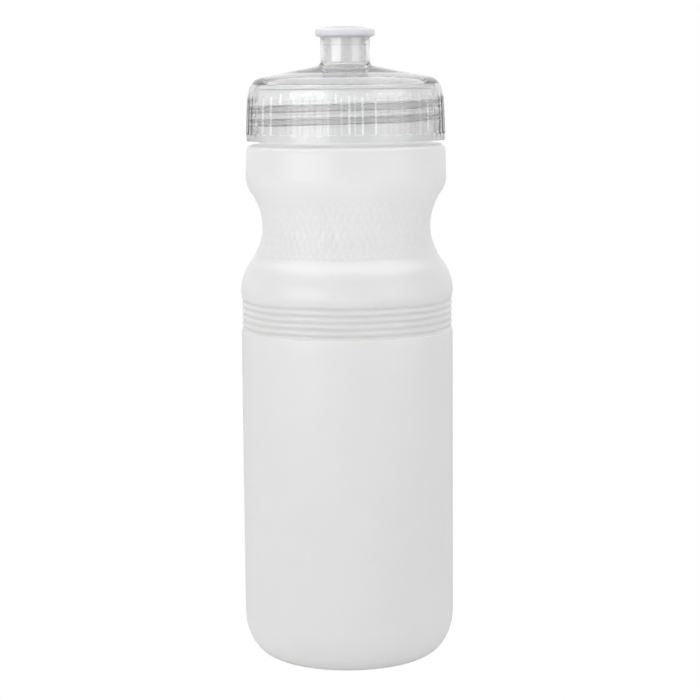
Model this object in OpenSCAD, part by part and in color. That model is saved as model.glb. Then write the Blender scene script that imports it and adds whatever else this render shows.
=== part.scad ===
// Squeeze sports bottle: a blown bottle with a grip waist, a clear screw lid and a push-pull spout.
// Millimetres. Z points up along the bottle's axis, and the origin is the middle of the base.
// Every outline is a list of [radius, height] points, turned about Z.

/* [Bottle] */
// Radius of the straight lower wall, the size that a bicycle cage grips
body_r = 36.75; // [36.4:0.05:37.1]
// Width of the rounded base corner, measured inwards
base_corner_w = 9.95; // [8:0.05:12]
// Height of the rounded base corner
base_corner_h = 15.4; // [12:0.1:20]
// Height of the hollow under the base
push_up = 4.5; // [2:0.25:6]
// Thickness of the blown wall
bottle_wall = 1.2; // [0.8:0.1:1.6]
// Largest radius of the shoulder below the grip
shoulder_r = 36.8; // [36.4:0.05:37.1]
// Height of the shoulder's widest place
shoulder_z = 128.05; // [127.8:0.05:129]
// Smallest radius of the grip waist
waist_r = 28.9; // [28.6:0.05:30]
// Height of the narrowest place
waist_z = 150.6; // [149:0.1:152]
// Radius of the waist's hollow curve
waist_arc = 19.3; // [18:0.1:20]
// Radius of the band above the grip, at its lower edge
band_r = 34.55; // [34.2:0.05:34.9]
// Height of the band's lower edge
band_z = 167.7; // [167:0.1:168.5]
// Height of the ledge at the foot of the neck
ledge_z = 178.75; // [178:0.05:180]
// Radius of the rounding at the ledge's rim
ledge_arc = 2.6; // [1.8:0.1:3]

/* [Grooves] */
// Number of rings pressed in below the shoulder
groove_count = 5; // [1:1:5]
// Distance from one ring to the next
groove_pitch = 2.25; // [2:0.05:2.3]
// Depth of a ring
groove_depth = 0.4; // [0.1:0.05:0.45]
// How far the ringed band lies inside the straight wall
groove_land = 0.3; // [0.1:0.05:0.35]

/* [Neck and thread] */
// Outer radius of the neck
neck_r = 29.8; // [29.6:0.05:30]
// Thickness of the neck
neck_wall = 1.8; // [1.2:0.1:1.8]
// Height of the neck above the ledge
neck_h = 18.65; // [18.3:0.05:18.9]
// Rise of the lid in one turn
thread_pitch = 4.4; // [4.2:0.1:4.6]
// Height of the lid's thread at its root
lid_thread_h = 2.5; // [2.2:0.1:2.6]
// Height of the neck's thread at its root
neck_thread_h = 2.1; // [1.8:0.1:2.2]

/* [Lid] */
// Gap between the ledge and the lid's lower edge
lid_gap = 1.15; // [0.8:0.05:1.5]
// Radius of the plain band at the lid's lower edge
lid_r = 34.15; // [34:0.05:34.4]
// Height of that plain band
lid_band_h = 2.4; // [1.5:0.1:4]
// Inner radius of the lid's skirt
skirt_inner_r = 31.9; // [31.7:0.05:32.1]
// Number of finger ribs round the skirt
rib_count = 48; // [24:4:48]
// How far a rib stands out of the skirt
rib_relief = 0.4; // [0.2:0.05:0.6]
// Width of a rib
rib_w = 1.85; // [1.4:0.05:2.2]
// Radius of the lid's shoulder
lid_shoulder_arc = 5.6; // [4.5:0.1:6.5]
// Slope of the lid's top, in degrees
dome_slope = 11.1; // [10.5:0.1:11.5]
// Thickness of the lid's top
dome_wall = 1.5; // [1.2:0.1:1.8]

/* [Seal ring] */
// Thickness of the seal ring between the neck's rim and the lid
seal_h = 1.2; // [1:0.1:1.4]

/* [Spout] */
// Outer radius of the collar that holds the spout
collar_r = 8.5; // [8.4:0.05:8.7]
// Height of the collar's top above the lid's lower edge
collar_h = 35; // [34:0.25:36]
// How far the spout pulls up
spout_travel = 6; // [4:0.5:6]
// Outer radius of the spout's tube
stem_r = 7.25; // [7.2:0.05:7.3]
// Bore of the spout's tube
stem_bore_r = 5.9; // [5.5:0.1:6]
// Radius of the drinking hole
hole_r = 2.6; // [2.2:0.1:3]
// Largest radius of the spout's lip
lip_r = 10.24; // [9.8:0.02:10.6]
// Height of the lip at its rim
lip_h = 3.2; // [2.8:0.1:3.4]
// Height of the lip's crown above its rim
lip_crown = 0.55; // [0.2:0.05:0.8]

/* [Stopper] */
// Radius of the post in the middle of the stopper
post_r = 2.1; // [1.8:0.1:2.1]
// Width of one of the stopper's windows
window_w = 3.4; // [2.5:0.1:4]

/* [Hidden] */
$fn = 96;

// Clearances and small sizes
running_gap = 0.05;    // a sliding piece in its bore, on the radius
press_depth = 0.03;    // interference of the stopper in the collar's foot
edge_break = 0.4;      // chamfer on a rim
cut_over = 1;          // how far a cutting solid runs past what it cuts

// Heights up the axis
rim_z = ledge_z + neck_h;
lid_z = ledge_z + lid_gap;
ceiling_z = rim_z + seal_h;
collar_top_z = lid_z + collar_h;

// Bottle: flat ring that it stands on, and the straight part of the wall
ring_outer_r = body_r - base_corner_w;
ring_w = 2.8;
ring_inner_r = ring_outer_r - ring_w;
push_up_slope_w = 7;
hollow_steps = 8;
groove_top_z = 126.15;
groove_low_z = groove_top_z - groove_count * groove_pitch;
groove_edge_h = 0.6;
band_taper = 0.15;
groove_steps = 10;

// Threads: angle 0 is +X, and the heights are those of a ridge's middle
thread_front_a = -90;
thread_front_h = 7.1;
lid_thread_front_z = lid_z + thread_front_h;
lid_thread_start_a = -200;
lid_thread_end_a = 380;
neck_thread_start_a = -170;
neck_thread_end_a = 400;
lid_crest_gap = 0.7;
neck_crest_gap = 0.6;
lid_thread_crest_r = neck_r + lid_crest_gap;
neck_thread_crest_r = skirt_inner_r - neck_crest_gap;
thread_bearing = 0.6;        // how far the neck's thread lies below mid-gap, towards the lid's
thread_embed = 0.5;          // how deep a thread's root is set into its wall
thread_crest_share = 0.45;   // width of the crest over that of the root
thread_end_share = 0.2;      // height that a thread has at its very ends
thread_step_a = 10;
thread_ramp_a = 40;

// Lid: the skirt leans in, and the cone of its top starts where it would meet the collar
skirt_lean = 2.26;
panel_set_back = 0.3;
panel_low_r = lid_r - panel_set_back;
panel_low_z = lid_z + lid_band_h;
rib_top_h = 16.2;
rib_top_z = lid_z + rib_top_h;
rib_bevel_h = 0.8;
collar_rise = 9.41;
dome_foot_z = collar_top_z - collar_rise;
collar_fillet = 1.7;
ceiling_overhang = 0.5;      // how far the flat ceiling reaches inside the neck's bore

// Seal ring: how far it clears the bore of the neck, and the lid's rounded corner
seal_inner_gap = 0.2;
seal_outer_gap = 0.3;

// Spout and the collar's three bores: foot, slideway, and the land that keeps the spout in
foot_r = 6.9;
foot_outer_r = 8;
slide_r = 7.75;
slide_h = 7.8;
foot_h = 2.8;
land_h = 2.6;
bead_h = 1.4;
foot_top_z = collar_top_z - land_h - slide_h;
foot_low_z = foot_top_z - foot_h;
stem_low_z = collar_top_z - land_h - spout_travel - bead_h;
lip_nose = 1.34;
crown_w = 3;                 // width of the crown that slopes up to the drinking hole
crown_drop = lip_crown / 5;  // how far the crown falls over that width
web_h = 2.2;

// Stopper
window_count = 3;
window_a = 249.5;
window_margin = 0.7;
skirt_reach = 1.1;
spout_rest_gap = 0.3;
skirt_low_z = foot_low_z - skirt_reach;
skirt_top_z = stem_low_z - spout_rest_gap;
arm_w = 1.4;
arm_h = 1.8;
arm_embed = 0.4;
tip_h = 1.8;
tip_taper = [0.6, 0.2];      // where the post widens to the tip, below the web: start and end

// Points on an arc about centre, from angle a0 to a1; round when r is a number, oval when it is a pair
function arc(centre, r, a0, a1, steps) =
    let (rx = is_list(r) ? r[0] : r, rz = is_list(r) ? r[1] : r)
    [for (i = [0:steps])
        let (a = a0 + (a1 - a0) * i / steps)
        centre + [rx * cos(a), rz * sin(a)]];

function reversed(points) = [for (i = [len(points) - 1:-1:0]) points[i]];

// Sum of the radii of two arcs that meet smoothly, from their steps apart in radius and in height
function tangent_reach(dr, dz) = (dr * dr + dz * dz) / (2 * dr);

// The smooth step that the base's hollow follows, from 0 at the ring to 1 at the middle
function hollow_share(r) = (1 - cos(180 * min(1, (ring_inner_r - r) / push_up_slope_w))) / 2;

// Bottle outline from the axis to the ledge, set inwards by the wall for the inside
function base_line(inset) = concat(
    [[0, push_up + inset]],
    [for (i = [hollow_steps:-1:0])
        let (r = ring_inner_r - push_up_slope_w * i / hollow_steps)
        [r, push_up * hollow_share(r) + inset]],
    arc([ring_outer_r, base_corner_h], [base_corner_w - inset, base_corner_h - inset], -90, 0, 12));

function groove_line() = concat(
    [[body_r, groove_low_z - groove_edge_h]],
    [for (i = [0:groove_count * groove_steps])
        [body_r - groove_land - groove_depth * (1 - cos(360 * i / groove_steps)) / 2,
         groove_low_z + groove_pitch * i / groove_steps]]);

shoulder_arc = tangent_reach(shoulder_r - waist_r, waist_z - shoulder_z) - waist_arc;
band_arc = tangent_reach(band_r - waist_r, band_z - waist_z) - waist_arc;
shoulder_c = [shoulder_r - shoulder_arc, shoulder_z];
waist_c = [waist_r + waist_arc, waist_z];
band_c = [band_r - band_arc, band_z];
shoulder_end_a = atan2(waist_c.y - shoulder_c.y, waist_c.x - shoulder_c.x);
band_start_a = atan2(waist_c.y - band_c.y, waist_c.x - band_c.x);

function grip_line(inset) = concat(
    arc(shoulder_c, shoulder_arc - inset, 0, shoulder_end_a, 8),
    arc(waist_c, waist_arc + inset, 180 + shoulder_end_a, 180 + band_start_a, 18),
    arc(band_c, band_arc - inset, band_start_a, 0, 8),
    arc([band_r - band_taper - ledge_arc, ledge_z - ledge_arc], ledge_arc - inset, 0, 90, 6));

function bottle_outside() = concat(
    base_line(0), groove_line(), grip_line(0),
    [[neck_r, ledge_z], [neck_r, rim_z - edge_break], [neck_r - edge_break, rim_z]]);

function bottle_inside() = concat(
    base_line(bottle_wall), grip_line(bottle_wall),
    [[neck_r - neck_wall, ledge_z - bottle_wall],
     [neck_r - neck_wall, rim_z - edge_break], [neck_r - neck_wall + edge_break, rim_z]]);

// Where the lid's thread lies at an angle: it climbs one pitch in each turn, counter-clockwise
function lid_thread_z(a) = lid_thread_front_z + thread_pitch * (a - thread_front_a) / 360;
function neck_thread_z(a) = lid_thread_z(a) + thread_pitch / 2 - thread_bearing;

// Share of its full height that a thread has at an angle, ramped at both ends
function thread_rise(a, start_a, end_a) =
    min(1, thread_end_share + min(a - start_a, end_a - a) / thread_ramp_a);

// A helical ridge on the wall at wall_r. heights holds the height of its middle at each of the angles.
module ridge(wall_r, crest_r, root_h, angles, heights) {
    out = sign(crest_r - wall_r);
    root_r = wall_r - out * thread_embed;
    crest_h = root_h * thread_crest_share;
    last = len(angles) - 1;
    points = [for (i = [0:last])
        let (top_r = root_r + (crest_r - root_r) * thread_rise(angles[i], angles[0], angles[last]))
        each [for (p = [[root_r, -root_h / 2], [top_r, -crest_h / 2], [top_r, crest_h / 2], [root_r, root_h / 2]])
            [p.x * cos(angles[i]), p.x * sin(angles[i]), heights[i] + p.y]]];
    sides = [for (i = [0:last - 1], k = [0:3])
        let (a = 4 * i + k, b = 4 * i + (k + 1) % 4)
        each [[a, a + 4, b + 4], [a, b + 4, b]]];
    ends = [[0, 1, 2], [0, 2, 3], [4 * last, 4 * last + 2, 4 * last + 1], [4 * last, 4 * last + 3, 4 * last + 2]];
    faces = concat(sides, ends);
    polyhedron(points, out > 0 ? [for (f = faces) reversed(f)] : faces);
}

module bottle() color([0.87, 0.88, 0.87]) {
    angles = [for (a = [neck_thread_start_a:thread_step_a:neck_thread_end_a]) a];
    rotate_extrude() polygon(concat(bottle_outside(), reversed(bottle_inside())));
    ridge(neck_r, neck_thread_crest_r, neck_thread_h, angles, [for (a = angles) neck_thread_z(a)]);
}

module lid_gasket() color([0.93, 0.93, 0.92]) {
    seal_inner_r = neck_r - neck_wall - seal_inner_gap;
    seal_outer_r = shoulder_inner_r(ceiling_z) - seal_outer_gap;
    rotate_extrude() polygon([
        [seal_inner_r, rim_z], [seal_outer_r, rim_z], [seal_outer_r, ceiling_z], [seal_inner_r, ceiling_z]]);
}

// Lid: the panel line leans in by skirt_lean, and the dome line rises towards the axis by dome_slope.
// The shoulder is the arc that both lines touch.
panel_n = [cos(skirt_lean), sin(skirt_lean)];
dome_n = [sin(dome_slope), cos(dome_slope)];
panel_reach = panel_n * [panel_low_r, panel_low_z];
dome_reach = dome_n * [collar_r, dome_foot_z];
line_cross = panel_n.x * dome_n.y - panel_n.y * dome_n.x;

// The point that lies depth inside both lines
function inside_corner(depth) = [
    ((panel_reach - depth) * dome_n.y - (dome_reach - depth) * panel_n.y) / line_cross,
    ((dome_reach - depth) * panel_n.x - (panel_reach - depth) * dome_n.x) / line_cross];

// Height of the dome line at a radius, set depth below the outside
function dome_z(r, depth) = ((dome_reach - depth) - dome_n.x * r) / dome_n.y;

lid_corner_c = inside_corner(lid_shoulder_arc);
lid_corner_r = lid_shoulder_arc - dome_wall;
ceiling_a = asin((ceiling_z - lid_corner_c.y) / lid_corner_r);

// Radius of the lid's inside at a height on its rounded corner
function shoulder_inner_r(z) = lid_corner_c.x + lid_corner_r * cos(asin((z - lid_corner_c.y) / lid_corner_r));

fillet_c = [collar_r + collar_fillet, dome_z(collar_r + collar_fillet, -collar_fillet)];

module lid_shell() {
    inner_low_r = neck_r - neck_wall - ceiling_overhang;
    outside = concat(
        [[skirt_inner_r, lid_z], [lid_r, lid_z], [lid_r, panel_low_z], [panel_low_r, panel_low_z]],
        arc(lid_corner_c, lid_shoulder_arc, skirt_lean, 90 - dome_slope, 10),
        arc(fillet_c, collar_fillet, 270 - dome_slope, 180, 6),
        [[collar_r, collar_top_z - edge_break / 2], [collar_r - edge_break / 2, collar_top_z]]);
    bore = [
        [stem_r + running_gap, collar_top_z],
        [stem_r + running_gap, collar_top_z - land_h],
        [slide_r, collar_top_z - land_h],
        [slide_r, foot_top_z],
        [foot_r, foot_top_z],
        [foot_r, foot_low_z],
        [foot_outer_r, foot_low_z],
        [foot_outer_r, dome_z(foot_outer_r, dome_wall)]];
    underside = concat(
        [[inner_low_r, dome_z(inner_low_r, dome_wall)], [inner_low_r, ceiling_z]],
        arc(lid_corner_c, lid_corner_r, ceiling_a, 0, 5));
    rotate_extrude() polygon(concat(outside, bore, underside));
}

// Finger ribs: a thin ring that leans in with the skirt, cut into bars by upright blades
module ribs() {
    foot_z = panel_low_z - rib_relief;
    crest_low_r = panel_low_r + rib_relief;
    crest_top_r = crest_low_r - (rib_top_z - foot_z) * tan(skirt_lean);
    ring_inner = skirt_inner_r + rib_relief;
    intersection() {
        rotate_extrude() polygon([
            [ring_inner, foot_z], [crest_low_r, foot_z],
            [crest_top_r, rib_top_z - rib_bevel_h], [crest_top_r - rib_relief, rib_top_z], [ring_inner, rib_top_z]]);
        translate([0, 0, foot_z]) linear_extrude(rib_top_z - foot_z)
            for (i = [0:rib_count - 1])
                rotate([0, 0, 360 * (i + 0.5) / rib_count])
                    translate([ring_inner - cut_over, -rib_w / 2])
                        square([crest_low_r - ring_inner + 2 * cut_over, rib_w]);
    }
}

module lid() color([0.85, 0.86, 0.88, 0.5]) {
    angles = [for (a = [lid_thread_start_a:thread_step_a:lid_thread_end_a]) a];
    lid_shell();
    ribs();
    ridge(skirt_inner_r, lid_thread_crest_r, lid_thread_h, angles, [for (a = angles) lid_thread_z(a)]);
}

// Stopper: a windowed skirt pressed into the collar's foot, arms, and a post whose tip plugs the drinking hole
module stopper() color([0.9, 0.91, 0.92]) {
    hole_low_z = collar_top_z + lip_h - web_h + lip_crown;
    tip_top_z = hole_low_z + tip_h;
    skirt_h = skirt_top_z - skirt_low_z;
    tip_r = hole_r - running_gap;
    difference() {
        translate([0, 0, skirt_low_z]) cylinder(r = foot_r + press_depth, h = skirt_h);
        translate([0, 0, skirt_low_z - cut_over]) cylinder(r = stem_bore_r, h = skirt_h + 2 * cut_over);
        for (i = [0:window_count - 1]) rotate([0, 0, window_a + 360 * i / window_count]) window();
    }
    for (i = [0:window_count - 1])
        rotate([0, 0, window_a + 360 * (i + 0.5) / window_count])
            translate([0, -arm_w / 2, skirt_low_z]) cube([stem_bore_r + arm_embed, arm_w, arm_h]);
    rotate_extrude() polygon([
        [0, skirt_low_z], [post_r, skirt_low_z], [post_r, hole_low_z - tip_taper[0]],
        [tip_r, hole_low_z - tip_taper[1]], [tip_r, tip_top_z - edge_break],
        [tip_r - edge_break, tip_top_z], [0, tip_top_z]]);
}

// An arch cut through the stopper's skirt from below
module window() {
    arch_z = skirt_top_z - window_margin - window_w / 2;
    straight_h = arch_z - skirt_low_z + cut_over;
    depth = foot_r - stem_bore_r + 2 * cut_over;
    translate([stem_bore_r - cut_over, 0, skirt_low_z - cut_over]) rotate([90, 0, 90]) {
        translate([-window_w / 2, 0, 0]) cube([window_w, straight_h, depth]);
        translate([0, straight_h, 0]) cylinder(r = window_w / 2, h = depth, $fn = 32);
    }
}

// Spout: a tube with a catch bead at its foot and a rounded lip round the drinking hole
module spout() color([0.88, 0.88, 0.93]) {
    lip_c = [lip_r - lip_nose, collar_top_z + lip_h / 2];
    top_z = collar_top_z + lip_h + lip_crown;
    rotate_extrude() polygon(concat(
        [[stem_bore_r, stem_low_z], [slide_r - running_gap, stem_low_z],
         [slide_r - running_gap, stem_low_z + bead_h], [stem_r, stem_low_z + bead_h], [stem_r, collar_top_z]],
        arc(lip_c, [lip_nose, lip_h / 2], -90, 90, 10),
        [[hole_r + crown_w, top_z - crown_drop], [hole_r + edge_break, top_z], [hole_r, top_z - edge_break],
         [hole_r, top_z - web_h], [stem_bore_r, top_z - web_h]]));
}

bottle();
lid_gasket();
lid();
stopper();
spout();
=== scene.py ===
import math

import bpy
import numpy as np
from mathutils import Matrix, Vector


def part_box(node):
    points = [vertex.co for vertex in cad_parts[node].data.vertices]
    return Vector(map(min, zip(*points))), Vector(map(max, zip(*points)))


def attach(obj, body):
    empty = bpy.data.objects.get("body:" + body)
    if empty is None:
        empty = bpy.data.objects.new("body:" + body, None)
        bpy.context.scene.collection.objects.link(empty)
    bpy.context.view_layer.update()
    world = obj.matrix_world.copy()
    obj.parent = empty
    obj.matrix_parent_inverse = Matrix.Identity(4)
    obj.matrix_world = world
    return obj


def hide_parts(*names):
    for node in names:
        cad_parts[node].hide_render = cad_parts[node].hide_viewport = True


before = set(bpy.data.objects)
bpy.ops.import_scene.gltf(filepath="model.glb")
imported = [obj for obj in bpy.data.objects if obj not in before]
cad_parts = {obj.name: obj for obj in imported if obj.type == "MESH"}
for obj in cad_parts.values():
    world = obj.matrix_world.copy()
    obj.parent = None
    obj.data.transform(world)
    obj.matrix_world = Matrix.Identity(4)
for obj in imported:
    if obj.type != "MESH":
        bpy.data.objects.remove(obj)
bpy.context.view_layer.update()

# Outlines are in millimetres: [radius, height] points turned about Z. The mesh makers write metres.
MM = 0.001


def heights(node):
    """Lowest and highest z of a CAD node, in millimetres."""
    low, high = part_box(node)
    return low.z / MM, high.z / MM


RIM_Z = heights("bottle")[1]
CEILING_Z = heights("lid_gasket")[1]
LID_Z, COLLAR_TOP_Z = heights("lid")
STOPPER_LOW_Z, TIP_Z = heights("stopper")
STEM_LOW_Z, CROWN_Z = heights("spout")
LEDGE_GAP = 1.15
LEDGE_Z = LID_Z - LEDGE_GAP

# Radii that pieces share
BODY_R = 36.75
NECK_R = 29.8
NECK_BORE_R = 28.0
SKIRT_INNER_R = 31.9
STEM_BORE_R = 5.9
HOLE_R = 2.6

# Thread: both ridges climb one pitch a turn, and the neck's lies a little above the lid's.
# SPAN holds a ridge's first and last angle, and WIDTHS its width at the root and at the crest.
THREAD_PITCH = 4.4
THREAD_RAMP_A = 40
THREAD_STEP_A = 2.5
THREAD_ROOT_IN = 0.5
THREAD_ROOT_FILLET = 0.05
THREAD_SINK = 0.1
FRONT_A = -90
LID_THREAD_FRONT_Z = LID_Z + 7.1
LID_THREAD_CREST_R = 30.5
LID_THREAD_SPAN = (-200, 380)
LID_THREAD_WIDTHS = (2.55, 1.4)
NECK_THREAD_FRONT_Z = LID_THREAD_FRONT_Z + 1.6
NECK_THREAD_CREST_R = 31.3
NECK_THREAD_SPAN = (-170, 400)
NECK_THREAD_WIDTHS = (2.1, 0.95)

# Columns round the axis. Neighbouring bands of a mesh have counts that divide each other.
FINE = 576
PLAIN = 192
COARSE = 96

# Points closer together than SAME_POINT are one, and points nearer to the axis than ON_AXIS lie on it
SAME_POINT = 1e-4
ON_AXIS = 1e-6


# ---------------------------------------------------------------- outlines

def arc(centre, radius, start, end, steps):
    """Points on an arc, in degrees. radius is a number, or a pair for an oval."""
    rx, rz = radius if isinstance(radius, tuple) else (radius, radius)
    angles = np.radians(np.linspace(start, end, steps + 1))
    return [(centre[0] + rx * math.cos(a), centre[1] + rz * math.sin(a)) for a in angles]


def line(a, b, steps=1):
    """Points from a to b, both ends included."""
    return [(a[0] + (b[0] - a[0]) * i / steps, a[1] + (b[1] - a[1]) * i / steps) for i in range(steps + 1)]


def rounded(corners, steps=4):
    """An outline through the corners (r, z, fillet), each rounded by its fillet."""
    points = [tuple(corners[0][:2])]
    for before, corner, after in zip(corners, corners[1:], corners[2:]):
        here = Vector(corner[:2])
        u = (Vector(before[:2]) - here).normalized()
        v = (Vector(after[:2]) - here).normalized()
        half = u.angle(v) / 2
        middle = here + (u + v).normalized() * corner[2] / math.sin(half)
        first = here + u * corner[2] / math.tan(half) - middle
        last = here + v * corner[2] / math.tan(half) - middle
        turn = math.copysign(math.pi - 2 * half, first.x * last.y - first.y * last.x)
        for i in range(steps + 1):
            point = middle + Matrix.Rotation(turn * i / steps, 2) @ first
            points.append((point.x, point.y))
    return points + [tuple(corners[-1][:2])]


def smooth_step(x):
    """0 below 0, 1 above 1, and a smooth rise between."""
    t = np.clip(x, 0, 1)
    return t * t * (3 - 2 * t)


# ---------------------------------------------------------------- meshes

def even_angles(columns):
    """Angles of evenly spaced columns round the axis."""
    return np.arange(columns) * 2 * math.pi / columns


def joined(low, high):
    """Faces between two rings of vertices. One count divides the other, or one ring is a single point."""
    if len(low) == 1:
        return [[low[0], b, a] for a, b in zip(high, high[1:] + high[:1])]
    if len(high) == 1:
        return [[a, b, high[0]] for a, b in zip(low, low[1:] + low[:1])]
    if len(low) > len(high):
        return [face[::-1] for face in joined(high, low)]
    share = len(high) // len(low)
    low, high = low + low[:1], high + high[:1]
    if share == 1:
        return [[low[i], low[i + 1], high[i + 1], high[i]] for i in range(len(low) - 1)]
    faces = []
    for i in range(len(low) - 1):
        fan = high[i * share:(i + 1) * share + 1]
        middle = share // 2
        faces += [[low[i], fan[k + 1], fan[k]] for k in range(middle)]
        faces += [[low[i], low[i + 1], fan[middle]]]
        faces += [[low[i + 1], fan[k + 1], fan[k]] for k in range(middle, share)]
    return faces


def turned(bands):
    """Vertices and faces of a closed outline turned about Z, anticlockwise in (radius, height).

    Its bands follow end to end: (points, columns or angles, reshape). reshape is None, or a function of
    (angles, r, z) that gives the new radii.
    """
    vertices, rings = [], []
    last = None
    for points, columns, reshape in bands:
        angles = even_angles(columns) if isinstance(columns, int) else columns
        for r, z in points:
            if last is not None and math.dist(last, (r, z)) < SAME_POINT:
                continue
            last = (r, z)
            here = angles if r > ON_AXIS else angles[:1]
            radii = reshape(here, r, z) if reshape else np.full(len(here), r)
            start = len(vertices)
            vertices += zip(radii * np.cos(here), radii * np.sin(here), np.full(len(here), z))
            rings.append(list(range(start, start + len(here))))
    faces = []
    for low, high in zip(rings, rings[1:] + rings[:1]):
        faces += joined(low, high)
    return vertices, faces


def new_mesh(name, vertices, faces, sharp=60):
    """A smooth-shaded object from points in millimetres."""
    mesh = bpy.data.meshes.new(name)
    mesh.from_pydata((np.array(vertices, float) * MM).tolist(), [], faces)
    mesh.validate()
    mesh.shade_smooth()
    mesh.set_sharp_from_angle(angle=math.radians(sharp))
    piece = bpy.data.objects.new(name, mesh)
    bpy.context.scene.collection.objects.link(piece)
    return piece


def cut(piece, tool, operation, sharp=35):
    """Joins tool to piece, or cuts it away, and removes the tool. Each face keeps its marks."""
    modifier = piece.modifiers.new(operation.lower(), "BOOLEAN")
    modifier.operation = operation
    modifier.object = tool
    modifier.solver = "EXACT"
    bpy.context.view_layer.update()
    made = bpy.data.meshes.new_from_object(piece.evaluated_get(bpy.context.evaluated_depsgraph_get()))
    made.shade_smooth()
    made.set_sharp_from_angle(angle=math.radians(sharp))
    piece.modifiers.clear()
    piece.data = made
    bpy.data.objects.remove(tool)


def set_slots(piece, indexes, count):
    """Gives a piece that many material slots, and puts each face in the slot of its index."""
    for _ in range(count):
        piece.data.materials.append(None)
    piece.data.polygons.foreach_set("material_index", indexes)


def mark_faces(piece, name, shares):
    """Marks each face with a share for the clear plastic: tint for painted shade, grey painted into its
    colour, and gloss for its coat's shine.
    """
    mark = piece.data.attributes.new(name, "FLOAT", "FACE")
    mark.data.foreach_set("value", np.array(shares, np.float32))


def thread(name, wall_r, crest_r, front_z, span, widths):
    """A helical ridge with a rounded crest, set into its wall. It fades into the wall at both ends."""
    start, end = span
    root, crest = widths
    height = abs(crest_r - wall_r)
    out = math.copysign(1, crest_r - wall_r)
    upper = [(height, crest / 2, crest / 3), (0, root / 2, THREAD_ROOT_FILLET), (-THREAD_ROOT_IN, root / 2)]
    lower = [(rise, -up, *fillet) for rise, up, *fillet in upper[::-1]]
    profile = rounded(lower + upper, 3)
    count = len(profile)
    turns = np.arange(start, end + 1, THREAD_STEP_A)
    vertices = []
    for here in turns:
        share = float(smooth_step(min(here - start, end - here) / THREAD_RAMP_A))
        middle = front_z + THREAD_PITCH * (here - FRONT_A) / 360
        for rise, up in profile:
            lift = rise if rise < 0 else rise * share - THREAD_SINK * (1 - share)
            r = wall_r + out * lift
            angle = math.radians(here)
            vertices.append((r * math.cos(angle), r * math.sin(angle), middle + up))
    faces = [list(range(count)), list(range((len(turns) - 1) * count, len(turns) * count))[::-1]]
    for i in range(len(turns) - 1):
        for k in range(count):
            a, b = i * count + k, i * count + (k + 1) % count
            faces.append([a, a + count, b + count, b])
    if out < 0:
        faces = [face[::-1] for face in faces]
    return new_mesh(name, vertices, faces)


# ---------------------------------------------------------------- bottle

BASE_CORNER = (9.95, 15.4)
RING_W = 2.8
PUSH_UP = 4.5
PUSH_UP_SLOPE_W = 7
BOTTLE_WALL = 1.2
GROOVE_COUNT = 5
GROOVE_PITCH = 2.25
GROOVE_TOP_Z = 126.15
GROOVE_LOW_Z = GROOVE_TOP_Z - GROOVE_COUNT * GROOVE_PITCH
GROOVE_LAND = 0.3
GROOVE_DEPTH = 0.4
GROOVE_STEPS = 10
WALL_TOP_Z = GROOVE_LOW_Z - 0.7
WALL_TOP_ARC = 0.5
WALL_TOP_A = 66
SHOULDER = (36.77, 128.05)
WAIST = (28.9, 150.6)
WAIST_ARC = 19.3
BAND = (34.55, 167.7)
BAND_TAPER = 0.15
LEDGE_ARC = 2.6
GRIP_LOW_Z = 141.0
GRIP_HIGH_Z = 160.4
GRIP_EDGE_H = 0.7
GRIP_SINK = 0.12
GRIP_SINK_H = 8
DIAMOND_COUNT = 72
DIAMOND_H = 5.3
DIAMOND_RELIEF = 0.3
NECK_FOOT_H = 3
NECK_RIM_H = 0.5
OUTER_STEPS = 12
INNER_STEPS = 6


def base_line(inset, steps):
    """Outline of the base from the axis to the foot of the straight wall."""
    ring_outer = BODY_R - BASE_CORNER[0]
    ring_inner = ring_outer - RING_W
    slope = []
    for i in range(steps, -1, -1):
        lift = PUSH_UP * (1 - math.cos(math.pi * i / steps)) / 2
        slope.append((ring_inner - PUSH_UP_SLOPE_W * i / steps, lift + inset))
    corner = (BASE_CORNER[0] - inset, BASE_CORNER[1] - inset)
    return (line((0, PUSH_UP + inset), slope[0], 3) + slope
            + arc((ring_outer, BASE_CORNER[1]), corner, -90, 0, 2 * steps))


def groove_line():
    """The rounded top of the straight wall, and the pressed rings: hollows with ridges between them."""
    edge = arc((BODY_R - WALL_TOP_ARC, WALL_TOP_Z), WALL_TOP_ARC, 0, WALL_TOP_A, 4)
    rings = []
    for i in range(GROOVE_COUNT * GROOVE_STEPS + 1):
        wave = (1 - math.cos(2 * math.pi * i / GROOVE_STEPS)) / 2
        z = GROOVE_LOW_Z + GROOVE_PITCH * i / GROOVE_STEPS
        rings.append((BODY_R - GROOVE_LAND - GROOVE_DEPTH * wave, z))
    return edge + rings


def grip_arcs(inset, steps):
    """Shoulder, waist, and the band with its rim: three runs of arcs that meet smoothly."""
    def other_arc(place):
        dr, dz = place[0] - WAIST[0], place[1] - WAIST[1]
        return (dr * dr + dz * dz) / (2 * dr) - WAIST_ARC

    waist_c = (WAIST[0] + WAIST_ARC, WAIST[1])
    shoulder_c = (SHOULDER[0] - other_arc(SHOULDER), SHOULDER[1])
    band_c = (BAND[0] - other_arc(BAND), BAND[1])
    shoulder_end = math.degrees(math.atan2(waist_c[1] - shoulder_c[1], waist_c[0] - shoulder_c[0]))
    band_start = math.degrees(math.atan2(waist_c[1] - band_c[1], waist_c[0] - band_c[0]))
    rim_c = (BAND[0] - BAND_TAPER - LEDGE_ARC, LEDGE_Z - LEDGE_ARC)
    shoulder = arc(shoulder_c, other_arc(SHOULDER) - inset, 0, shoulder_end, steps)
    waist = arc(waist_c, WAIST_ARC + inset, 180 + shoulder_end, 180 + band_start, 5 * steps)
    band = (arc(band_c, other_arc(BAND) - inset, band_start, 0, steps)
            + arc(rim_c, LEDGE_ARC - inset, 0, 90, steps // 2))
    return shoulder, waist, band


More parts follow.
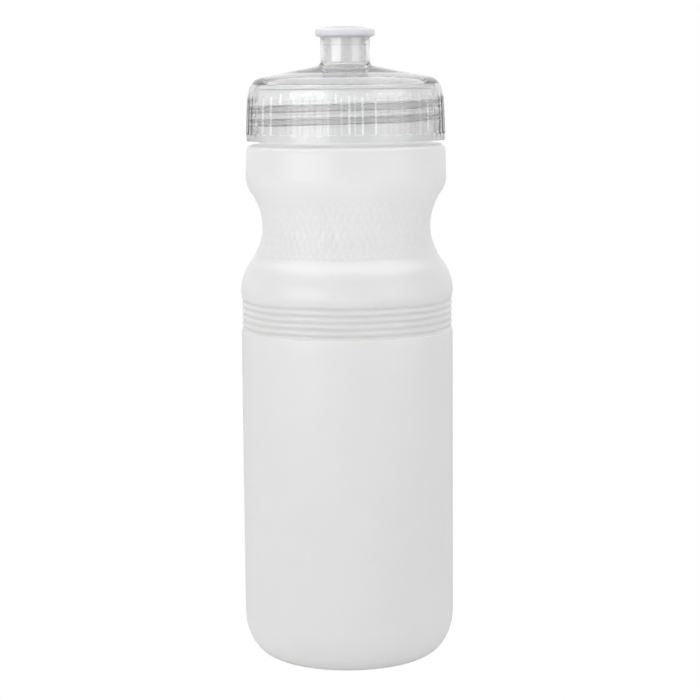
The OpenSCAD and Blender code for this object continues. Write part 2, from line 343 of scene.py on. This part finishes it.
def grip_radius(angles, r, z):
    """Raised diamonds between two crossed sets of helical valleys, set in a little towards the top."""
    zone = smooth_step((z - GRIP_LOW_Z) / GRIP_EDGE_H) * smooth_step((GRIP_HIGH_Z - z) / GRIP_EDGE_H)
    sink = GRIP_SINK * zone * smooth_step((z - GRIP_LOW_Z) / GRIP_SINK_H)
    climb = 2 * math.pi * (z - GRIP_LOW_Z) / DIAMOND_H
    left = np.abs(np.sin((DIAMOND_COUNT * angles + climb) / 2))
    right = np.abs(np.sin((DIAMOND_COUNT * angles - climb) / 2))
    return r - sink + DIAMOND_RELIEF * zone * np.minimum(left, right)


def bottle():
    """The blown bottle, from the middle of its base up the outside and down the inside."""
    shoulder, waist, band = grip_arcs(0, OUTER_STEPS)
    shoulder_in, waist_in, band_in = grip_arcs(BOTTLE_WALL, INNER_STEPS)
    wall = line((BODY_R, BASE_CORNER[1]), (BODY_R, WALL_TOP_Z), OUTER_STEPS)
    ledge = rounded([band[-1], (NECK_R, LEDGE_Z, 0.5), (NECK_R, LEDGE_Z + NECK_FOOT_H)])
    neck = line(ledge[-1], (NECK_R, RIM_Z - NECK_RIM_H), INNER_STEPS)
    rim = rounded([neck[-1], (NECK_R, RIM_Z, 0.4), (NECK_BORE_R, RIM_Z, 0.4),
                   (NECK_BORE_R, LEDGE_Z - BOTTLE_WALL, 0.6), band_in[-1]])
    inside = [p for run in (shoulder_in, waist_in, band_in) for p in run][::-1]
    vertices, faces = turned([
        (base_line(0, OUTER_STEPS), PLAIN, None),
        (wall + groove_line(), PLAIN, None),
        (shoulder, PLAIN, None),
        (waist, FINE, grip_radius),
        (band + ledge + neck, PLAIN, None),
        (rim, COARSE, None),
        (inside, COARSE, None),
        (base_line(BOTTLE_WALL, 8)[::-1], COARSE, None),
    ])
    piece = new_mesh("bottle_shell", vertices, faces)
    ridge = thread("neck_thread", NECK_R, NECK_THREAD_CREST_R, NECK_THREAD_FRONT_Z, NECK_THREAD_SPAN,
                   NECK_THREAD_WIDTHS)
    cut(piece, ridge, "UNION")
    return piece


# ---------------------------------------------------------------- lid

BAND_LID_R = 34.15
PANEL_LOW = (33.85, LID_Z + 2.4)
LEDGE_SLOPE_H = 0.16
LEDGE_REACH = 0.5
SKIRT_LEAN = 2.26
SKIRT_STEPS = 6
LID_SHOULDER_ARC = 5.6
DOME_SLOPE = 11.1
DOME_WALL = 1.5
CEILING_R = NECK_BORE_R - 0.5
COLLAR_R = 8.5
DOME_FOOT_Z = COLLAR_TOP_Z - 9.41
COLLAR_FILLET = 1.7

# The finger ribs. RIB_COLUMNS holds the columns' distances from a rib's middle: they are closest together at
# the corners of its sloping edge.
RIB_COUNT = 48
RIB_W = 1.85
RIB_RELIEF = 0.4
RIB_EDGE = 0.65
RIB_COLUMNS = [0, 0.5, 0.6, 0.66, 0.925, 1.19, 1.25, 1.35]
RIB_PITCH = 2 * math.pi * PANEL_LOW[0] / RIB_COUNT
RIB_TOP_Z = LID_Z + 16.2
RIB_BEND_Z = RIB_TOP_Z - 1.2
RIB_FADE_H = 2.6
RIB_TOP_SHARE = 0.3
RIB_FOOT_DROP = 0.7
RIB_FOOT_H = 0.5

# Shares of painted shade (grey painted into the colour of the thread, the skirt and the collar, where the
# clear lid looks darker) and of shine that the lid's faces have
THREAD_PAINTED_SHADE = 0.36
SKIRT_PAINTED_SHADE = 0.1
COLLAR_PAINTED_SHADE = 0.04
PANEL_GLOSS = 0.25
COLLAR_GLOSS = 0.38
EDGE_GLOSS = 1.0

# The collar's bore: a land that stops the spout's bead, a slideway, and a foot that holds the stopper
FOOT_R = 6.9
FOOT_TUBE_R = 8.0
SLIDE_R = 7.75
LAND_R = 7.3
LAND_H = 2.6
FOOT_TOP_Z = COLLAR_TOP_Z - 10.4
FOOT_LOW_Z = COLLAR_TOP_Z - 13.2


def panel_r(z):
    """Radius of the skirt between the ribs."""
    return PANEL_LOW[0] - (z - PANEL_LOW[1]) * math.tan(math.radians(SKIRT_LEAN))


def dome_z(r, depth=0.0):
    """Height of the sloping top at a radius, depth below the outside."""
    slope = math.radians(DOME_SLOPE)
    return DOME_FOOT_Z - (r - COLLAR_R) * math.tan(slope) - depth / math.cos(slope)


def shoulder_centre():
    """Centre of the arc that touches the panel line and the dome line."""
    lean, slope = math.radians(SKIRT_LEAN), math.radians(DOME_SLOPE)
    panel_n, dome_n = (math.cos(lean), math.sin(lean)), (math.sin(slope), math.cos(slope))
    panel_reach = panel_n[0] * PANEL_LOW[0] + panel_n[1] * PANEL_LOW[1] - LID_SHOULDER_ARC
    dome_reach = dome_n[0] * COLLAR_R + dome_n[1] * DOME_FOOT_Z - LID_SHOULDER_ARC
    cross = panel_n[0] * dome_n[1] - panel_n[1] * dome_n[0]
    return ((panel_reach * dome_n[1] - dome_reach * panel_n[1]) / cross,
            (dome_reach * panel_n[0] - panel_reach * dome_n[0]) / cross)


def rib_angles():
    """Angles of the columns round the skirt."""
    across = [-RIB_PITCH / 2] + [-x for x in RIB_COLUMNS[:0:-1]] + RIB_COLUMNS
    places = [i + 0.5 + x / RIB_PITCH for i in range(RIB_COUNT) for x in across]
    return 2 * math.pi * np.array(places) / RIB_COUNT


def rib_share(angles, z):
    """Share of a rib's height: the ribs have sloping edges and round tops."""
    across = ((angles * RIB_COUNT / (2 * math.pi)) % 1 - 0.5) * RIB_PITCH
    over = np.maximum(0, z - (RIB_TOP_Z - RIB_W / 2))
    return np.clip((RIB_W / 2 - np.hypot(across, over)) / RIB_EDGE + 0.5, 0, 1)


def rib_radius(angles, r, z):
    """The skirt with its finger ribs, which are lower towards their tops."""
    fade = min(1, max(RIB_TOP_SHARE, (RIB_TOP_Z - z) / RIB_FADE_H))
    foot = smooth_step((z - PANEL_LOW[1] + RIB_FOOT_DROP) / RIB_FOOT_H)
    crest = panel_r(z) + RIB_RELIEF * fade * foot
    return r + rib_share(angles, z) * max(0, crest - r)


def mark_lid(piece):
    """Paints shade on the skirt and the collar, which makes them a little greyer than the dome, and makes the
    ribs' sloping edges shinier.
    """
    x, y, z = np.array([tuple(face.center) for face in piece.data.polygons]).T / MM
    radii = np.hypot(x, y)
    share = rib_share(np.arctan2(y, x) % (2 * math.pi), z)
    outside = (radii > SKIRT_INNER_R + 0.5) & (z > PANEL_LOW[1]) & (z < RIB_TOP_Z)
    edge = outside & (share > 0.02) & (share < 0.98)
    collar = (radii < COLLAR_R + 0.1) & (z > FOOT_TOP_Z)
    # Painted shade: the tint share greys the colour of the skirt, and the collar a little more
    mark_faces(piece, "tint", SKIRT_PAINTED_SHADE * (radii > NECK_BORE_R) + COLLAR_PAINTED_SHADE * collar)
    mark_faces(piece, "gloss", np.where(edge, EDGE_GLOSS, np.where(collar, COLLAR_GLOSS, PANEL_GLOSS)))


def lid():
    """The screw lid, from its lower edge up the outside, down the collar's bore and along the inside."""
    centre = shoulder_centre()
    outer = arc(centre, LID_SHOULDER_ARC, SKIRT_LEAN, 90 - DOME_SLOPE, 16)
    inner_arc = LID_SHOULDER_ARC - DOME_WALL
    ceiling_a = math.degrees(math.asin((CEILING_Z - centre[1]) / inner_arc))
    panel_foot_z = PANEL_LOW[1] + LEDGE_REACH
    ledge = rounded([
        (BAND_LID_R, PANEL_LOW[1] - LEDGE_REACH),
        (BAND_LID_R, PANEL_LOW[1] - LEDGE_SLOPE_H, 0.12),
        (PANEL_LOW[0], PANEL_LOW[1] + LEDGE_SLOPE_H, 0.12),
        (panel_r(panel_foot_z), panel_foot_z),
    ])
    tall = line(ledge[-1], (panel_r(RIB_BEND_Z), RIB_BEND_Z), 8)
    tops = line(tall[-1], outer[0], 12)
    fillet_c = (COLLAR_R + COLLAR_FILLET, dome_z(COLLAR_R + COLLAR_FILLET, -COLLAR_FILLET))
    fillet = arc(fillet_c, COLLAR_FILLET, 270 - DOME_SLOPE, 180, 10)
    collar = rounded([
        fillet[-1],
        (COLLAR_R, COLLAR_TOP_Z, 0.3),
        (LAND_R, COLLAR_TOP_Z, 0.3),
        (LAND_R, COLLAR_TOP_Z - LAND_H, 0.1),
        (SLIDE_R, COLLAR_TOP_Z - LAND_H, 0.1),
        (SLIDE_R, FOOT_TOP_Z, 0.3),
        (FOOT_R, FOOT_TOP_Z, 0.2),
        (FOOT_R, FOOT_LOW_Z, 0.2),
        (FOOT_TUBE_R, FOOT_LOW_Z, 0.2),
        (FOOT_TUBE_R, dome_z(FOOT_TUBE_R, DOME_WALL), 0.5),
        (CEILING_R, dome_z(CEILING_R, DOME_WALL), 0.6),
        (CEILING_R, CEILING_Z, 0.15),
        (centre[0] + inner_arc * math.cos(math.radians(ceiling_a)), CEILING_Z),
    ])
    corner = arc(centre, inner_arc, ceiling_a, 0, 8)
    skirt = line((SKIRT_INNER_R, centre[1] - 0.6), (SKIRT_INNER_R, LID_Z + 3.4), SKIRT_STEPS)
    foot = rounded([skirt[-1], (SKIRT_INNER_R, LID_Z, 0.3), (BAND_LID_R, LID_Z, 0.35), ledge[0]])
    vertices, faces = turned([
        (foot[1:], PLAIN, None),
        (ledge + tall + tops, rib_angles(), rib_radius),
        (outer[1:], PLAIN, None),
        (fillet, COARSE, None),
        (collar[1:], COARSE, None),
        (corner + skirt, PLAIN, None),
    ])
    piece = new_mesh("lid_shell", vertices, faces)
    mark_lid(piece)
    ridge = thread("lid_thread", SKIRT_INNER_R, LID_THREAD_CREST_R, LID_THREAD_FRONT_Z, LID_THREAD_SPAN,
                   LID_THREAD_WIDTHS)
    # Painted shade: the thread is greyed in its colour, for the dark bands that the clear ridge shows
    mark_faces(ridge, "tint", np.full(len(ridge.data.polygons), THREAD_PAINTED_SHADE))
    mark_faces(ridge, "gloss", np.full(len(ridge.data.polygons), PANEL_GLOSS))
    cut(piece, ridge, "UNION")
    return piece


# ---------------------------------------------------------------- seal, spout and stopper

def ring(name, corners, steps=4, columns=PLAIN):
    """A closed ring from its outline's corners (r, z, fillet), anticlockwise."""
    corners = [corners[-1]] + corners + [corners[0]]
    vertices, faces = turned([(rounded(corners, steps)[1:-1], columns, None)])
    return new_mesh(name, vertices, faces)


SEAL_GAP = 0.02
SEAL_INNER_R = NECK_BORE_R - 0.2
SEAL_OUTER_R = NECK_R + 0.1
SEAL_FILLET = 0.15


def seal():
    """The seal ring, between the neck's rim and the lid's ceiling."""
    low, high = RIM_Z + SEAL_GAP, CEILING_Z - SEAL_GAP
    return ring("seal_ring", [(SEAL_INNER_R, low, SEAL_FILLET), (SEAL_OUTER_R, low, SEAL_FILLET),
                              (SEAL_OUTER_R, high, SEAL_FILLET), (SEAL_INNER_R, high, SEAL_FILLET)])


LIP_R = 10.24
LIP_LOW_Z = COLLAR_TOP_Z + 0.35
LIP_SEAT_Z = COLLAR_TOP_Z + 0.02
CROWN_R = 4.0
STEM_R = 7.25
BEAD_R = SLIDE_R - 0.05
BEAD_TOP_Z = STEM_LOW_Z + 1.35
WEB_LOW_Z = CROWN_Z - 2.2


def spout():
    """The spout, from its bore down to the catch bead, up the tube, round the lip and into the hole."""
    foot = rounded([
        (STEM_BORE_R, WEB_LOW_Z - 1),
        (STEM_BORE_R, STEM_LOW_Z, 0.25),
        (BEAD_R, STEM_LOW_Z, 0.3),
        (BEAD_R, BEAD_TOP_Z, 0.35),
        (STEM_R, BEAD_TOP_Z, 0.2),
        (STEM_R, LIP_SEAT_Z, 0.05),
        (COLLAR_R, LIP_SEAT_Z),
    ])
    nose = rounded([
        foot[-1],
        (LIP_R - 0.55, LIP_LOW_Z, 0.4),
        (LIP_R, LIP_LOW_Z + 0.5, 0.6),
        (LIP_R - 0.02, CROWN_Z - 1, 0.85),
        (CROWN_R, CROWN_Z, 1.2),
        (HOLE_R, CROWN_Z, 0.45),
        (HOLE_R, WEB_LOW_Z, 0.25),
        (STEM_BORE_R, WEB_LOW_Z, 0.5),
        foot[0],
    ], 8)
    vertices, faces = turned([(foot[1:] + nose[1:], PLAIN, None)])
    piece = new_mesh("spout_shell", vertices, faces)
    heights_up = np.array([face.center.z for face in piece.data.polygons]) / MM
    # Faces under the collar's top take the lighter tube colour: painted light
    set_slots(piece, (heights_up < COLLAR_TOP_Z) * 1, len(SPOUT_PLASTICS))
    return piece


WINDOW_COUNT = 3
WINDOW_A = 249.5
WINDOW_W = 3.4
POST_R = 2.1
POST_FILLET = 0.3
TIP_R = HOLE_R - 0.05
ARM_W = 1.4
ARM_FILLET = 0.3
ARM_LOW_Z = STOPPER_LOW_Z + 0.02
ARM_HIGH_Z = STOPPER_LOW_Z + 1.8
STOPPER_SKIRT_R = 6.87
SKIRT_TOP_Z = STEM_LOW_Z - 0.3
WINDOW_TOP_Z = SKIRT_TOP_Z - 0.7


def extruded(name, outline, low_r, high_r, angle):
    """A bar that runs outwards at an angle from low_r to high_r. Its outline is (across, height) points."""
    turn = math.radians(angle)
    count = len(outline)
    vertices = []
    for r in (low_r, high_r):
        for across, z in outline:
            vertices.append((r * math.cos(turn) - across * math.sin(turn),
                             r * math.sin(turn) + across * math.cos(turn), z))
    sides = [[i, (i + 1) % count, count + (i + 1) % count, count + i] for i in range(count)]
    faces = sides + [list(range(count))[::-1], list(range(count, 2 * count))]
    return new_mesh(name, vertices, faces)


def stopper():
    """The stopper: a skirt with arched windows, and arms that carry the post that plugs the hole."""
    piece = ring("stopper_core", [
        (STEM_BORE_R, STOPPER_LOW_Z, 0.15),
        (STOPPER_SKIRT_R, STOPPER_LOW_Z, 0.15),
        (STOPPER_SKIRT_R, SKIRT_TOP_Z, 0.2),
        (STEM_BORE_R, SKIRT_TOP_Z, 0.2),
    ], 3, COARSE)
    half = WINDOW_W / 2
    arch = ([(-half, STOPPER_LOW_Z - 1), (half, STOPPER_LOW_Z - 1)]
            + arc((0, WINDOW_TOP_Z - half), half, 0, 180, 16))
    side = ARM_W / 2
    bar = rounded([(0, ARM_LOW_Z), (side, ARM_LOW_Z, ARM_FILLET), (side, ARM_HIGH_Z, ARM_FILLET),
                   (-side, ARM_HIGH_Z, ARM_FILLET), (-side, ARM_LOW_Z, ARM_FILLET), (0, ARM_LOW_Z)], 3)[:-1]
    for i in range(WINDOW_COUNT):
        at = WINDOW_A + 360 * i / WINDOW_COUNT
        cut(piece, extruded("window", arch, STEM_BORE_R - 1, STOPPER_SKIRT_R + 1, at), "DIFFERENCE")
        cut(piece, extruded("arm", bar, POST_R - 0.6, STEM_BORE_R + 0.5, at + 180 / WINDOW_COUNT), "UNION")
    post = rounded([
        (0, STOPPER_LOW_Z),
        (POST_R, STOPPER_LOW_Z, POST_FILLET),
        (POST_R, WEB_LOW_Z - 0.6, POST_FILLET),
        (TIP_R, WEB_LOW_Z - 0.2, POST_FILLET),
        (TIP_R, TIP_Z, 0.4),
        (0, TIP_Z),
    ])
    cut(piece, new_mesh("post", *turned([(post, COARSE, None)])), "UNION")
    mark_faces(piece, "gloss", np.full(len(piece.data.polygons), COLLAR_GLOSS))
    return piece


# ---------------------------------------------------------------- materials

# Noise values lie close to a half, so this part of them is spread over the whole range of a colour or value
NOISE_LOW = 0.3
NOISE_HIGH = 0.7


def new_material(name):
    """A node material with its Principled shader."""
    material = bpy.data.materials.new(name)
    material.use_nodes = True
    return material, material.node_tree.nodes["Principled BSDF"]


def noise(material, scale, detail=2.0, stretch=(1, 1, 1)):
    """Noise fixed to the object. scale counts waves per metre, and stretch lengthens it along each axis."""
    nodes, links = material.node_tree.nodes, material.node_tree.links
    place = nodes.new("ShaderNodeTexCoord")
    mapping = nodes.new("ShaderNodeMapping")
    mapping.inputs["Scale"].default_value = [1 / s for s in stretch]
    pattern = nodes.new("ShaderNodeTexNoise")
    pattern.inputs["Scale"].default_value = scale
    pattern.inputs["Detail"].default_value = detail
    links.new(place.outputs["Object"], mapping.inputs["Vector"])
    links.new(mapping.outputs["Vector"], pattern.inputs["Vector"])
    return pattern.outputs["Fac"]


def spread(material, value, low, high):
    """A noise value carried to the range low to high."""
    node = material.node_tree.nodes.new("ShaderNodeMapRange")
    node.inputs["From Min"].default_value = NOISE_LOW
    node.inputs["From Max"].default_value = NOISE_HIGH
    node.inputs["To Min"].default_value = low
    node.inputs["To Max"].default_value = high
    material.node_tree.links.new(value, node.inputs["Value"])
    return node.outputs["Result"]


def tones(material, value, dark, light):
    """A colour between dark and light, by a noise value."""
    ramp = material.node_tree.nodes.new("ShaderNodeValToRGB")
    ramp.color_ramp.elements[0].position = NOISE_LOW
    ramp.color_ramp.elements[0].color = (*dark, 1)
    ramp.color_ramp.elements[1].position = NOISE_HIGH
    ramp.color_ramp.elements[1].color = (*light, 1)
    material.node_tree.links.new(value, ramp.inputs["Fac"])
    return ramp.outputs["Color"]


def bump(material, value, depth, below=None):
    """A bump of that depth, in metres, over another bump if one is given."""
    node = material.node_tree.nodes.new("ShaderNodeBump")
    node.inputs["Strength"].default_value = 1
    node.inputs["Distance"].default_value = depth
    material.node_tree.links.new(value, node.inputs["Height"])
    if below is not None:
        material.node_tree.links.new(below, node.inputs["Normal"])
    return node.outputs["Normal"]


def let_lamps_through(material, tint):
    """Lets light from lamps pass a clear piece as it does in thin plastic."""
    nodes, links = material.node_tree.nodes, material.node_tree.links
    path = nodes.new("ShaderNodeLightPath")
    clear = nodes.new("ShaderNodeBsdfTransparent")
    clear.inputs["Color"].default_value = (*tint, 1)
    mix = nodes.new("ShaderNodeMixShader")
    links.new(path.outputs["Is Shadow Ray"], mix.inputs["Fac"])
    links.new(nodes["Principled BSDF"].outputs["BSDF"], mix.inputs[1])
    links.new(clear.outputs["BSDF"], mix.inputs[2])
    links.new(mix.outputs["Shader"], nodes["Material Output"].inputs["Surface"])


def bottle_plastic():
    """White blown polyethylene: matt, softly translucent, with faint upright lines from the blown tube."""
    material, shader = new_material("white_polyethylene")
    shader.inputs["IOR"].default_value = 1.51
    shader.inputs["Subsurface Weight"].default_value = 0.85
    shader.inputs["Subsurface Radius"].default_value = (1, 1, 1)
    shader.inputs["Subsurface Scale"].default_value = 0.003
    links = material.node_tree.links
    links.new(tones(material, noise(material, 60, 3), (0.90, 0.91, 0.897), (0.915, 0.925, 0.912)),
              shader.inputs["Base Color"])
    links.new(spread(material, noise(material, 900, 2), 0.3, 0.36), shader.inputs["Roughness"])
    drawn = bump(material, noise(material, 260, 1, (1, 1, 60)), 0.000006)
    links.new(bump(material, noise(material, 1400, 2), 0.000002, drawn), shader.inputs["Normal"])
    return material


def face_share(material, name):
    """The share that mark_faces gave each face under that name, or 0."""
    node = material.node_tree.nodes.new("ShaderNodeAttribute")
    node.attribute_name = name
    return node.outputs["Fac"]


def clear_plastic(name, colour, roughness, wave, density):
    """Clear moulded plastic, glossy outside and a little grey where it is thick, with faint flow waves.

    The shares called tint and gloss come from the faces: tint is painted shade, which mixes black into the
    colour.
    """
    material, shader = new_material(name)
    shader.inputs["Transmission Weight"].default_value = 1
    shader.inputs["IOR"].default_value = 1.14
    shader.inputs["Coat IOR"].default_value = 1.8
    shader.inputs["Coat Roughness"].default_value = 0.05
    nodes, links = material.node_tree.nodes, material.node_tree.links
    links.new(face_share(material, "gloss"), shader.inputs["Coat Weight"])
    grey = nodes.new("ShaderNodeVolumeAbsorption")
    grey.inputs["Color"].default_value = (0.5, 0.485, 0.505, 1)
    grey.inputs["Density"].default_value = density
    links.new(grey.outputs["Volume"], nodes["Material Output"].inputs["Volume"])
    # Painted shade: the tint share of each face mixes black into its colour
    painted_shade = nodes.new("ShaderNodeMix")
    painted_shade.data_type = "RGBA"
    painted_shade.inputs["B"].default_value = (0, 0, 0, 1)
    links.new(face_share(material, "tint"), painted_shade.inputs["Factor"])
    links.new(tones(material, noise(material, 40, 2), colour, [min(1, c * 1.01) for c in colour]),
              painted_shade.inputs["A"])
    links.new(painted_shade.outputs["Result"], shader.inputs["Base Color"])
    links.new(spread(material, noise(material, 300, 3), roughness * 0.7, roughness * 1.3),
              shader.inputs["Roughness"])
    links.new(bump(material, noise(material, 220, 1, (1, 1, 2.5)), wave), shader.inputs["Normal"])
    let_lamps_through(material, colour)
    return material


def milky_plastic(name, dark, light, roughness):
    """Milky soft plastic of the spout."""
    material, shader = new_material(name)
    shader.inputs["IOR"].default_value = 1.51
    shader.inputs["Subsurface Weight"].default_value = 1
    shader.inputs["Subsurface Radius"].default_value = (1, 1, 1.15)
    shader.inputs["Subsurface Scale"].default_value = 0.005
    links = material.node_tree.links
    links.new(tones(material, noise(material, 90, 2), dark, light), shader.inputs["Base Color"])
    links.new(spread(material, noise(material, 700, 2), roughness * 0.85, roughness),
              shader.inputs["Roughness"])
    links.new(bump(material, noise(material, 500, 2), 0.000004), shader.inputs["Normal"])
    return material


def seal_rubber():
    """Soft white sealing ring."""
    material, shader = new_material("soft_white_seal")
    shader.inputs["Subsurface Weight"].default_value = 0.2
    shader.inputs["Subsurface Scale"].default_value = 0.001
    links = material.node_tree.links
    links.new(tones(material, noise(material, 120, 3), (0.80, 0.80, 0.79), (0.84, 0.84, 0.83)),
              shader.inputs["Base Color"])
    links.new(spread(material, noise(material, 1200, 2), 0.5, 0.65), shader.inputs["Roughness"])
    links.new(bump(material, noise(material, 1500, 3), 0.00001), shader.inputs["Normal"])
    return material


def place(piece, materials, body, node, slot):
    """Gives a piece its materials, one for each of its slots, and lets it stand for a CAD node."""
    for i, material in enumerate(materials):
        if i < len(piece.data.materials):
            piece.data.materials[i] = material
        else:
            piece.data.materials.append(material)
    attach(piece, body)
    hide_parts(node)


# One moulding in two tones by height: the tube under the collar's top is lighter than the lip, painted light
# for the tube seen through the clear collar
SPOUT_PLASTICS = [
    milky_plastic("milky_lip", (0.77, 0.765, 0.825), (0.79, 0.785, 0.84), 0.5),
    milky_plastic("milky_tube", (0.885, 0.885, 0.91), (0.905, 0.905, 0.93), 0.3),
]
place(bottle(), [bottle_plastic()], "bottle", "bottle", "bottle_wall")
place(seal(), [seal_rubber()], "seal", "lid_gasket", "seal_white")
place(lid(), [clear_plastic("clear_lid", (0.985, 0.985, 0.99), 0.03, 0.00002, 70)], "lid", "lid", "lid_clear")
place(stopper(), [clear_plastic("clear_stopper", (0.995, 0.995, 0.998), 0.12, 0.00002, 5)], "lid", "stopper",
      "stopper_clear")
place(spout(), SPOUT_PLASTICS, "spout", "spout", "spout_milky")


# ---------------------------------------------------------------- stage, light and camera

def stage_floor():
    """A plain white floor, which hardly shows a shadow."""
    material = bpy.data.materials.new("white_floor")
    material.use_nodes = True
    nodes, links = material.node_tree.nodes, material.node_tree.links
    nodes.remove(nodes["Principled BSDF"])
    path = nodes.new("ShaderNodeLightPath")
    matt = nodes.new("ShaderNodeBsdfDiffuse")
    matt.inputs["Color"].default_value = (0.85, 0.85, 0.85, 1)
    glow = nodes.new("ShaderNodeEmission")
    glow.inputs["Strength"].default_value = 1.0
    mix = nodes.new("ShaderNodeMixShader")
    links.new(path.outputs["Is Camera Ray"], mix.inputs["Fac"])
    links.new(matt.outputs["BSDF"], mix.inputs[1])
    links.new(glow.outputs["Emission"], mix.inputs[2])
    links.new(mix.outputs["Shader"], nodes["Material Output"].inputs["Surface"])
    half = 4
    low = -0.0001
    mesh = bpy.data.meshes.new("floor")
    mesh.from_pydata([(-half, -half, low), (half, -half, low), (half, half, low), (-half, half, low)], [],
                     [(0, 1, 2, 3)])
    mesh.materials.append(material)
    floor = bpy.data.objects.new("floor", mesh)
    bpy.context.scene.collection.objects.link(floor)


def softbox(name, azimuth, elevation, distance, size, radiance, only_gloss=False):
    """A soft rectangular lamp aimed at the bottle. azimuth runs rightwards from the camera's side."""
    across, up = math.radians(azimuth), math.radians(elevation)
    target = Vector((0, 0, 0.13))
    way = Vector((math.sin(across) * math.cos(up), -math.cos(across) * math.cos(up), math.sin(up)))
    lamp = bpy.data.lights.new(name, "AREA")
    lamp.shape = "RECTANGLE"
    lamp.size, lamp.size_y = size
    lamp.energy = radiance * math.pi * size[0] * size[1]
    holder = bpy.data.objects.new(name, lamp)
    holder.visible_diffuse = not only_gloss
    holder.visible_transmission = not only_gloss
    holder.location = target + way * distance
    holder.rotation_euler = way.to_track_quat("Z", "Y").to_euler()
    bpy.context.scene.collection.objects.link(holder)


def studio_world():
    """White to the camera. To everything else, a white backdrop that fades to a grey room in front."""
    world = bpy.data.worlds.new("studio")
    bpy.context.scene.world = world
    world.use_nodes = True
    nodes, links = world.node_tree.nodes, world.node_tree.links
    path = nodes.new("ShaderNodeLightPath")
    where = nodes.new("ShaderNodeTexCoord")
    split = nodes.new("ShaderNodeSeparateXYZ")
    fade = nodes.new("ShaderNodeMapRange")
    fade.interpolation_type = "SMOOTHSTEP"
    fade.inputs["From Min"].default_value = 0.0
    fade.inputs["From Max"].default_value = 0.85
    fade.inputs["To Min"].default_value = 0.53
    fade.inputs["To Max"].default_value = 1.0
    surround = nodes["Background"]
    surround.inputs["Color"].default_value = (1, 1, 1, 1)
    white = nodes.new("ShaderNodeBackground")
    white.inputs["Color"].default_value = (1, 1, 1, 1)
    mix = nodes.new("ShaderNodeMixShader")
    links.new(where.outputs["Generated"], split.inputs["Vector"])
    links.new(split.outputs["Y"], fade.inputs["Value"])
    links.new(fade.outputs["Result"], surround.inputs["Strength"])
    links.new(path.outputs["Is Camera Ray"], mix.inputs["Fac"])
    links.new(surround.outputs["Background"], mix.inputs[1])
    links.new(white.outputs["Background"], mix.inputs[2])
    links.new(mix.outputs["Shader"], nodes["World Output"].inputs["Surface"])


# Lens and sensor are in millimetres, the camera's place in metres, its downward tilt and its roll in degrees
LENS = 101.3
SENSOR_W = 36
CAMERA_PLACE = (0.0009, -0.682, 0.1974)
CAMERA_TILT = 7.55
CAMERA_ROLL = -0.45


def aim_camera():
    """The view from just above the lid's height, tilted down a little, through a long lens."""
    data = bpy.data.cameras.new("camera")
    data.lens = LENS
    data.sensor_width = SENSOR_W
    camera = bpy.data.objects.new("camera", data)
    bpy.context.scene.collection.objects.link(camera)
    tilt = Matrix.Rotation(math.radians(90 - CAMERA_TILT), 4, "X")
    roll = Matrix.Rotation(math.radians(CAMERA_ROLL), 4, "Z")
    camera.matrix_world = Matrix.Translation(CAMERA_PLACE) @ tilt @ roll
    bpy.context.scene.camera = camera


stage_floor()
studio_world()
softbox("left_softbox", -45, 9, 0.9, (0.8, 0.36), 2.8)
softbox("right_softbox", 55, 10, 1.0, (0.8, 0.5), 1.6)
softbox("top_softbox", 0, 75, 0.9, (0.9, 0.4), 0.4)
softbox("ceiling_panel", 180, 85, 0.9, (2.1, 1.5), 3.5, only_gloss=True)
aim_camera()
bpy.context.scene.view_settings.view_transform = "Standard"
bpy.context.scene.cycles.max_bounces = 32
bpy.context.scene.cycles.transmission_bounces = 24
bpy.context.scene.cycles.glossy_bounces = 12
bpy.context.scene.cycles.diffuse_bounces = 24
